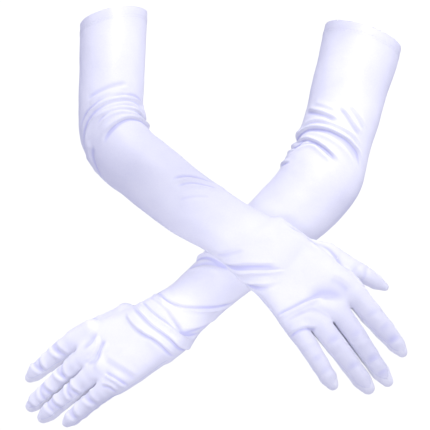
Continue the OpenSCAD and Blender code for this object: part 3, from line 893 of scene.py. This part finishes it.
def attach(obj, side, places, piece):
    """Makes a piece ride on its body, or bend between the two that it spans."""
    finger = next((n for n in STALLS if piece.startswith(n)), None)
    if finger:
        bodies, ends = ("hand", finger), (finger, finger)
        depths = (FINGER_START[finger] + 0.5, FINGER_START[finger] + BEND_REACH[finger])
    else:
        bodies = ends = movement(side, piece)[:2]
        depths = movement(side, piece)[2:]
    if not depths:
        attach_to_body(obj, f"{side}_{bodies[0]}")
        return
    start, end = [tuple(places[e].world((0, 0, -d)) * MM) for e, d in zip(ends, depths)]
    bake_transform(obj, f"{side}_{bodies[0]}", f"{side}_{bodies[1]}", start=start, end=end)


# ---- Seams, stitches and the elastic ----

SEAM_TURN = -97           # degrees round the arm to its seam, on the outer side
SEAM_STEP = 1.5           # mm between the rays that find the cloth under a seam
WELT_SIDES = 8            # of the section of a seam or stitch
ARM_SEAM = (0.55, 0.35, 60.0)      # half width, height, and how far away its cloth may lie
FINGER_SEAM = (0.42, 0.3, 13.5)
THUMB_SEAM = (0.5, 0.35, 18.0)
STITCH_ROWS = ((HEM - 1.0, 0.0), (HEM - 3.6, 2.5))     # (below the rim, turned by)
STITCH_STEP = 6                                        # degrees
ELASTIC_STEP = 3
ELASTIC_EDGES = (10.2, 2.2)        # mm below the rim


def hit(tree, origin, direction):
    """The cloth's place and normal along a ray from inside it."""
    place, normal, _, _ = tree.ray_cast(Vector(origin), Vector(direction))
    if place is None:
        return None
    normal = np.array(normal)
    if normal @ np.array(direction) < 0:
        normal = -normal
    return np.array(place), normal


def surface_line(tree, rays, reach):
    """The cloth's places and normals along rays, leaving out those that miss the near cloth."""
    found = [(hit(tree, o, d), o) for o, d in rays]
    found = [f for f, o in found if f is not None and np.linalg.norm(f[0] - o) < reach]
    points = np.array([f[0] for f in found])
    normals = np.array([f[1] for f in found])
    for _ in range(2):
        points[1:-1] = (points[:-2] + 2 * points[1:-1] + points[2:]) / 4
        normals[1:-1] = (normals[:-2] + 2 * normals[1:-1] + normals[2:]) / 4
    return points, normals / np.linalg.norm(normals, axis=1)[:, None]


def welt(points, normals, half_width, height):
    """A low rounded ridge along a line on the cloth, as points and faces."""
    side = np.cross(np.gradient(points, axis=0), normals)
    side /= np.linalg.norm(side, axis=1)[:, None]
    turn = np.arange(WELT_SIDES) * 2 * math.pi / WELT_SIDES
    verts = [points + side * half_width * math.cos(a) + normals * height * math.sin(a) for a in turn]
    verts = np.stack(verts, 1).reshape(-1, 3)
    last = (len(points) - 1) * WELT_SIDES
    faces = []
    for a in range(0, last, WELT_SIDES):
        b = a + WELT_SIDES
        for j in range(WELT_SIDES):
            k = (j + 1) % WELT_SIDES
            faces.append((a + j, a + k, b + k, b + j))
    faces.append(tuple(reversed(range(WELT_SIDES))))
    faces.append(tuple(last + j for j in range(WELT_SIDES)))
    return verts, faces


def joined(parts):
    """Several (points, faces) as one."""
    points, faces, start = [], [], 0
    for p, f in parts:
        points.append(p)
        faces += [tuple(v + start for v in face) for face in f]
        start += len(p)
    return np.concatenate(points), faces


def arm_rays(places, line, stations):
    """Rays from the arm's middle line out through the cloth at the seam."""
    rays = []
    a = math.radians(SEAM_TURN)
    upper = places["upper"]
    for s in stations:
        k = int(np.argmin(np.abs(line["s"] - s)))
        x, z = line["at"][k] + line["tangent"][k] * (s - line["s"][k])
        n = line["normal"][k]
        out = upper.axes @ np.array([n[0] * math.sin(a), -math.cos(a), n[1] * math.sin(a)])
        rays.append((upper.world((x, 0, z)), out))
    return rays


def seam_part(tree, rays, size):
    """A seam's ridge on the cloth that the rays meet, sunk a little into it."""
    half_width, height, reach = size
    points, normals = surface_line(tree, rays, reach)
    return welt(points - normals * 0.05, normals, half_width, height)


def arm_seams(side, places, line, tree):
    """The seam along the outer side of the sleeve, in the same runs as the cloth."""
    first = UPPER_LEN[side] - ELBOW_CUT
    second = line["first"] + line["arc"] + ELBOW_CUT - ELBOW_FILLET
    third = line["total"] - WRIST_CUT
    runs = {"sleeve": (HEM + 2, first), "elbow": (first, second), "forearm": (second, third)}
    rays = {n: arm_rays(places, line, np.arange(a, b + 0.5, SEAM_STEP)) for n, (a, b) in runs.items()}
    return {n: seam_part(tree, found, ARM_SEAM) for n, found in rays.items()}


def finger_rays(places, name, y, direction, start, stop):
    place = places[name]
    out = place.axes[:, 0] * direction
    return [(place.world((0, y, -t)), out) for t in np.arange(start, stop, 1.2)]


def finger_seams(places, tree, name):
    """The seams along a finger: two by each fourchette, one down an outer edge."""
    stop = places[name].length - 7
    start = FINGER_START[name] + 0.3
    parts = []
    for direction in (-1, 1):
        outer = (name == "index" and direction == 1) or (name == "little" and direction == -1)
        for y in ((0,) if outer else (-FOURCHETTE_HALF, FOURCHETTE_HALF)):
            rays = finger_rays(places, name, y, direction, start, stop)
            parts.append(seam_part(tree, rays, FINGER_SEAM))
    return joined(parts)


def thumb_ring(places, tree):
    """The seam round the thumb's opening in the hand."""
    place = places["thumb"]
    rays = []
    for a in np.linspace(0, 2 * math.pi, 48, endpoint=False):
        out = place.axes @ np.array([math.cos(a), math.sin(a), 0])
        rays.append((place.world((0, 0, -FINGER_START["thumb"] - 0.8)), out))
    return seam_part(tree, rays, THUMB_SEAM)


def hem_ring(side, places, tree, depth, angles):
    """Places and normals round the cuff, a set depth below the rim."""
    upper = places["upper"]
    out = []
    for degrees in angles:
        a = math.radians(degrees)
        z = -depth + RIM_SLOPE[side] * math.sin(a) * 35
        out.append((upper.world((0, 0, z)), upper.axes @ np.array([math.sin(a), -math.cos(a), 0])))
    found = [hit(tree, o, d) for o, d in out]
    return np.array([f[0] for f in found]), np.array([f[1] for f in found])


def hem_stitches(side, places, tree):
    """Two rows of short stitches that hold the turned hem."""
    parts = []
    bow = np.array([-0.1, 0.14, 0.22, 0.14, -0.1])[:, None]
    for depth, shift in STITCH_ROWS:
        for start in range(0, 360, STITCH_STEP):
            angles = [start + shift + x for x in (-1.9, -1.2, 0, 1.2, 1.9)]
            points, normals = hem_ring(side, places, tree, depth, angles)
            parts.append(welt(points + normals * bow, normals, 0.24, 0.2))
    return joined(parts)


def elastic_band(side, places, tree):
    """The ribbed elastic inside the hem: a closed band with a rib every few degrees."""
    angles = np.arange(0, 360, ELASTIC_STEP)
    count = len(angles)
    rib = np.where(np.arange(count) % 2 == 0, 0.0, 0.28)[:, None]
    loops = []
    for depth in (2.2, 3.2, 6, 9, 10.2):
        points, normals = hem_ring(side, places, tree, depth, angles)
        edge = 0.35 if depth in ELASTIC_EDGES else 0.0
        loops.append(points - normals * (CLOTH + 0.75 + rib - edge))
    for depth in ELASTIC_EDGES:
        points, normals = hem_ring(side, places, tree, depth, angles)
        loops.append(points - normals * (CLOTH + 0.12))
    faces = []
    for i in range(len(loops)):
        a, b = i * count, ((i + 1) % len(loops)) * count
        for j in range(count):
            k = (j + 1) % count
            faces.append((a + j, b + j, b + k, a + k))
    return np.concatenate(loops), faces


# ---- Materials ----


def add(tree, kind, settings=None, **inputs):
    """A node with its properties and input values; a value that is a socket is linked."""
    made = tree.nodes.new(kind)
    for key, value in (settings or {}).items():
        setattr(made, key, value)
    for key, value in inputs.items():
        by_number = key[0] == "i" and key[1:].isdigit()
        socket = made.inputs[int(key[1:]) if by_number else key.replace("_", " ")]
        if isinstance(value, bpy.types.NodeSocket):
            tree.links.new(value, socket)
        else:
            socket.default_value = value
    return made


PAINTED_VALLEY_SHADE = (0.60, 0.60, 0.86)      # painted shade: a darker lavender laid into the satin's colour in the fold valleys, where shade falls
PAINTED_VALLEY_SHADE_AMOUNT = 0.75               # and how much of that painted shade goes into the deepest valleys


def satin(name, shade, light, rough, weave=0.10, grain=1.0):
    """White satin: a faint change of tone, a soft gloss that varies, a fine slanting weave, and painted shade, a
    darker lavender mixed in where the fold attribute marks a valley.
    """
    material = bpy.data.materials.new(name)
    material.use_nodes = True
    tree = material.node_tree
    tree.nodes.clear()
    where = add(tree, "ShaderNodeTexCoord").outputs["Object"]
    broad = add(tree, "ShaderNodeTexNoise", Vector=where, Scale=16.0, Detail=3.0).outputs["Fac"]
    fine = add(tree, "ShaderNodeTexNoise", Vector=where, Scale=620.0 * grain, Detail=2.0).outputs["Fac"]
    tone = add(tree, "ShaderNodeMath", {"operation": "MULTIPLY_ADD"}, i0=fine, i1=0.25, i2=broad).outputs[0]
    ramp = add(tree, "ShaderNodeValToRGB", Fac=tone)
    ramp.color_ramp.elements[0].position = 0.38
    ramp.color_ramp.elements[0].color = (*shade, 1)
    ramp.color_ramp.elements[1].position = 0.82
    ramp.color_ramp.elements[1].color = (*light, 1)
    # Painted shade: the deeper a fold valley, the more of the darker lavender shade colour is mixed into the
    # satin.
    fold = add(tree, "ShaderNodeAttribute", {"attribute_name": "fold"}).outputs["Fac"]
    low = add(tree, "ShaderNodeMapRange", Value=fold, i1=-0.1, i2=-1.15, i3=0.0, i4=PAINTED_VALLEY_SHADE_AMOUNT).outputs[0]
    colour = add(tree, "ShaderNodeMix", {"data_type": "RGBA"}, i0=low, i6=ramp.outputs[0],
                 i7=(*PAINTED_VALLEY_SHADE, 1)).outputs[2]
    gloss = add(tree, "ShaderNodeMapRange", Value=tone, i1=0.3, i2=0.9, i3=rough[1], i4=rough[0]).outputs[0]
    turned = add(tree, "ShaderNodeMapping", Vector=where, Rotation=(0.2, 0.6, 0.78)).outputs[0]
    warp = add(tree, "ShaderNodeTexWave", Vector=turned, Scale=420.0 * grain, Distortion=0.6).outputs["Fac"]
    weft = add(tree, "ShaderNodeTexWave", {"bands_direction": "Z"}, Vector=turned,
               Scale=300.0 * grain, Distortion=0.6).outputs["Fac"]
    cloth = add(tree, "ShaderNodeMath", {"operation": "MULTIPLY_ADD"}, i0=weft, i1=0.6, i2=warp).outputs[0]
    first = add(tree, "ShaderNodeBump", Strength=weave, Distance=0.0002, Height=cloth).outputs[0]
    soft = add(tree, "ShaderNodeTexNoise", Vector=where, Scale=150.0, Detail=3.0).outputs["Fac"]
    second = add(tree, "ShaderNodeBump", Strength=0.16, Distance=0.0012, Height=soft,
                 Normal=first).outputs[0]
    shader = add(tree, "ShaderNodeBsdfPrincipled", Base_Color=colour, Roughness=gloss, Normal=second)
    add(tree, "ShaderNodeOutputMaterial", Surface=shader.outputs[0])
    return material


def make_materials():
    return {
        "satin": satin("white_satin", (0.80, 0.80, 0.89), (0.91, 0.91, 0.955), (0.40, 0.52)),
        # The fourchettes' satin is paler than the rest: partly a paler panel, partly painted light that lifts the
        # shade in the narrow gaps between the fingers.
        "satin_fourchette": satin("pale_fourchette_painted_light_satin", (0.90, 0.90, 0.95), (0.96, 0.96, 0.98), (0.34, 0.46)),
        "satin_hem": satin("hem_satin", (0.80, 0.80, 0.89), (0.91, 0.91, 0.96), (0.32, 0.44)),
        "seam_allowance": satin("seam_satin", (0.66, 0.67, 0.80), (0.82, 0.83, 0.93),
                               (0.45, 0.6), weave=0.3),
        "thread": satin("white_thread", (0.80, 0.80, 0.88), (0.90, 0.90, 0.95),
                       (0.4, 0.55), weave=0.6, grain=2.5),
        "elastic": satin("white_elastic", (0.74, 0.74, 0.80), (0.85, 0.85, 0.9),
                        (0.5, 0.7), weave=0.6, grain=0.6),
    }


def finish_piece(obj, slot, materials):
    obj.data.materials.clear()
    obj.data.materials.append(materials[slot])


# ---- Putting the gloves together ----

STANDS_FOR = {
    "hem_cloth": "cuff_hem", "sleeve_cloth": "upper_sleeve", "elbow_cloth": "elbow_gather",
    "forearm_cloth": "forearm_sleeve", "wrist_cloth": "wrist_gather",
    "hand_back_cloth": "hand_back", "hand_palm_cloth": "hand_palm",
    "index_fourchette_little_side_cloth": "index_fourchette",
    "little_fourchette_thumb_side_cloth": "little_fourchette",
    **{f"{n}_cloth": f"{n}_stall" for n in STALLS},
    **{f"{n}_fourchette_{e}_side_cloth": f"{n}_fourchette_{e}_side"
       for n in ("middle", "ring") for e in ("thumb", "little")},
}


def hand_rays(hand, start, stop):
    """Rays from the hand's middle to its outer edge, along the line between back and palm."""
    return [(hand.world((0, HAND_TILT * t, -t)), -hand.axes[:, 0]) for t in np.arange(start, stop, SEAM_STEP)]


def wrist_seam(places, line, tree):
    """The outer seam through the wrist, turning from the arm's line to the hand's."""
    rays = arm_rays(places, line, np.arange(line["total"] - WRIST_CUT, line["total"] + 0.1, SEAM_STEP))
    rays += hand_rays(places["hand"], SEAM_STEP, WRIST_CUT + 0.5)
    return seam_part(tree, rays, ARM_SEAM)


def hand_seam(places, tree):
    """The seam between the back and the palm, down the hand's outer edge to the little finger."""
    little = places["little"]
    rays = hand_rays(places["hand"], WRIST_CUT, 66)
    for t in np.arange(2.0, FINGER_START["little"] + 1.0, SEAM_STEP):
        rays.append((little.world((0, 0, -t)), -little.axes[:, 0]))
    return seam_part(tree, rays, ARM_SEAM)


def add_seams(side, places, line, tree, materials):
    """Every seam, stitch row and elastic as its own piece."""
    runs = arm_seams(side, places, line, tree)
    made = {
        "sleeve_seam": (runs["sleeve"], "seam_allowance", "upper_seam"),
        "elbow_seam": (runs["elbow"], "seam_allowance", None),
        "forearm_seam": (runs["forearm"], "seam_allowance", "forearm_seam"),
        "wrist_seam": (wrist_seam(places, line, tree), "seam_allowance", None),
        "hand_seam": (hand_seam(places, tree), "seam_allowance", None),
        "thumb_ring_seam": (thumb_ring(places, tree), "thread", "thumb_seam"),
        "hem_stitches": (hem_stitches(side, places, tree), "thread", "hem_stitching"),
        "hem_elastic": (elastic_band(side, places, tree), "elastic", "cuff_elastic"),
        **{f"{n}_seams": (finger_seams(places, tree, n), "seam_allowance", None) for n in FINGERS},
    }
    for name, (part, slot, node) in made.items():
        obj = new_object(f"{side}_{name}", *part)
        finish_piece(obj, slot, materials)
        attach(obj, side, places, name)
        if node:
            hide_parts(f"{side}_{node}")


def slot_of(piece):
    # The fourchettes take the paler satin, partly painted light that lifts the shade between the fingers.
    if "fourchette" in piece:
        return "satin_fourchette"
    return "satin_hem" if piece.startswith("hem") else "satin"


def dress(side, materials):
    """Builds one glove's cloth and seams, and ties them to the frame."""
    places, line, pieces, tree = build_glove(side)
    for name, obj in pieces.items():
        finish_piece(obj, slot_of(name), materials)
        attach(obj, side, places, name)
        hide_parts(f"{side}_{STANDS_FOR[name]}")
    add_seams(side, places, line, tree, materials)


# ---- Studio ----


def studio_material(name, colour, rough):
    material = bpy.data.materials.new(name)
    material.use_nodes = True
    shader = material.node_tree.nodes["Principled BSDF"]
    shader.inputs["Base Color"].default_value = (*colour, 1)
    shader.inputs["Roughness"].default_value = rough
    return material


def make_floor():
    """A wide pale floor, well below the gloves."""
    half, height = 6.0, CAD_BOX[0].z - 1.1
    mesh = bpy.data.meshes.new("floor")
    corners = [(-half, -half, height), (half, -half, height), (half, half, height), (-half, half, height)]
    mesh.from_pydata(corners, [], [(0, 1, 2, 3)])
    floor = bpy.data.objects.new("floor", mesh)
    bpy.context.scene.collection.objects.link(floor)
    mesh.materials.append(studio_material("floor_paint", (0.9, 0.9, 0.91), 0.7))


SKY_SIDE = (0.42, -0.30, 0.86)      # where the soft light comes from most


def make_world():
    """White behind the gloves; the light they get is soft, cool, and stronger from above."""
    world = bpy.data.worlds.new("studio")
    bpy.context.scene.world = world
    world.use_nodes = True
    tree = world.node_tree
    tree.nodes.clear()
    seen = add(tree, "ShaderNodeLightPath").outputs["Is Camera Ray"]
    way = add(tree, "ShaderNodeTexCoord").outputs["Generated"]
    high = add(tree, "ShaderNodeVectorMath", {"operation": "DOT_PRODUCT"}, i0=way, i1=SKY_SIDE)
    share = add(tree, "ShaderNodeMapRange", Value=high.outputs["Value"], i1=-1.0, i2=1.0)
    ramp = add(tree, "ShaderNodeValToRGB", Fac=share.outputs[0])
    ramp.color_ramp.elements[0].color = (0.34, 0.34, 0.56, 1)
    ramp.color_ramp.elements[1].color = (0.80, 0.80, 0.96, 1)
    fill = add(tree, "ShaderNodeBackground", Color=ramp.outputs[0], Strength=1.0).outputs[0]
    white = add(tree, "ShaderNodeBackground", Color=(1, 1, 1, 1), Strength=1.05).outputs[0]
    mix = add(tree, "ShaderNodeMixShader", i0=seen, i1=fill, i2=white)
    add(tree, "ShaderNodeOutputWorld", Surface=mix.outputs[0])


FROM_RIGHT = Vector((0.45, -1.8, 1.05))      # from each thing lit to its lamp
FROM_LEFT = Vector((-0.5, -1.85, 0.95))
FROM_BELOW = Vector((-0.3, -1.95, -0.7))
WARM = (1.0, 1.0, 0.97)
# The small lamps: (mount or joint, how far from it they aim, from where, degrees, watts).
LAMPS = {
    "right_sleeve": ("right_cuff", (0.004, 0, -0.062), FROM_RIGHT, 5.8, 112),
    "left_sleeve": ("left_cuff", (-0.01, 0, -0.08), FROM_RIGHT, 8, 92),
    "left_elbow": ("left_elbow", (-0.02, 0, -0.045), FROM_RIGHT, 5.4, 36),
    "right_hand": ("right_wrist", (0.034, 0, -0.022), FROM_RIGHT, 5.2, 52),
    "left_hand": ("left_wrist", (-0.02, 0, -0.01), FROM_LEFT, 5.2, 16),
    "left_forearm": ("left_wrist", (0.060, 0, 0.026), FROM_BELOW, 3.9, 175),
    "left_fingers": ("left_middle_knuckle", (-0.02, 0, -0.02), FROM_LEFT, 4.4, 150),
    "right_fingers": ("right_middle_knuckle", (0.03, 0, -0.035), FROM_RIGHT, 4.6, 34),
}


def add_lamp(name, kind, aim, away, power, **settings):
    data = bpy.data.lights.new(name, kind)
    data.energy = power
    data.color = WARM
    for key, value in settings.items():
        setattr(data, key, value)
    lamp = bpy.data.objects.new(name, data)
    bpy.context.scene.collection.objects.link(lamp)
    lamp.location = aim + away
    lamp.rotation_mode = "QUATERNION"
    lamp.rotation_quaternion = (-away).to_track_quat("-Z", "Y")


def make_lights():
    """One soft light on everything, and small ones that pick out the sleeves and the hands."""
    middle = (CAD_BOX[0] + CAD_BOX[1]) / 2
    add_lamp("front", "AREA", middle, FROM_RIGHT, 1, shape="RECTANGLE", size=0.35, size_y=0.35)
    for name, (near, offset, away, degrees, power) in LAMPS.items():
        aim = Vector((MOUNTS.get(near) or JOINTS[near])["pos_m"]) + Vector(offset)
        add_lamp(name, "SPOT", aim, away, power, spot_size=math.radians(degrees), spot_blend=0.5,
                 shadow_soft_size=0.10)


CAMERA_TILT = math.radians(17)
CAMERA_AWAY = 3.0
CAMERA_AIM = Vector((0.1045, 0.0358, -0.1978))     # from the right cuff's middle


def make_camera():
    """The photograph's view: from a little below, looking along +Y."""
    data = bpy.data.cameras.new("camera")
    data.lens = 248.1
    data.sensor_width = 36
    camera = bpy.data.objects.new("camera", data)
    bpy.context.scene.collection.objects.link(camera)
    ahead = Vector((0, math.cos(CAMERA_TILT), math.sin(CAMERA_TILT)))
    aim = Vector(MOUNTS["right_cuff"]["pos_m"]) + CAMERA_AIM
    camera.location = aim - ahead * CAMERA_AWAY
    camera.rotation_mode = "QUATERNION"
    camera.rotation_quaternion = ahead.to_track_quat("-Z", "Y")
    bpy.context.scene.camera = camera


def write_size():
    """Brings the view layer up to date."""
    bpy.context.view_layer.update()


make_camera()
MATERIALS = make_materials()
for glove in SIDES:
    dress(glove, MATERIALS)
make_floor()
make_world()
make_lights()
bpy.context.scene.view_settings.view_transform = "Standard"
write_size()
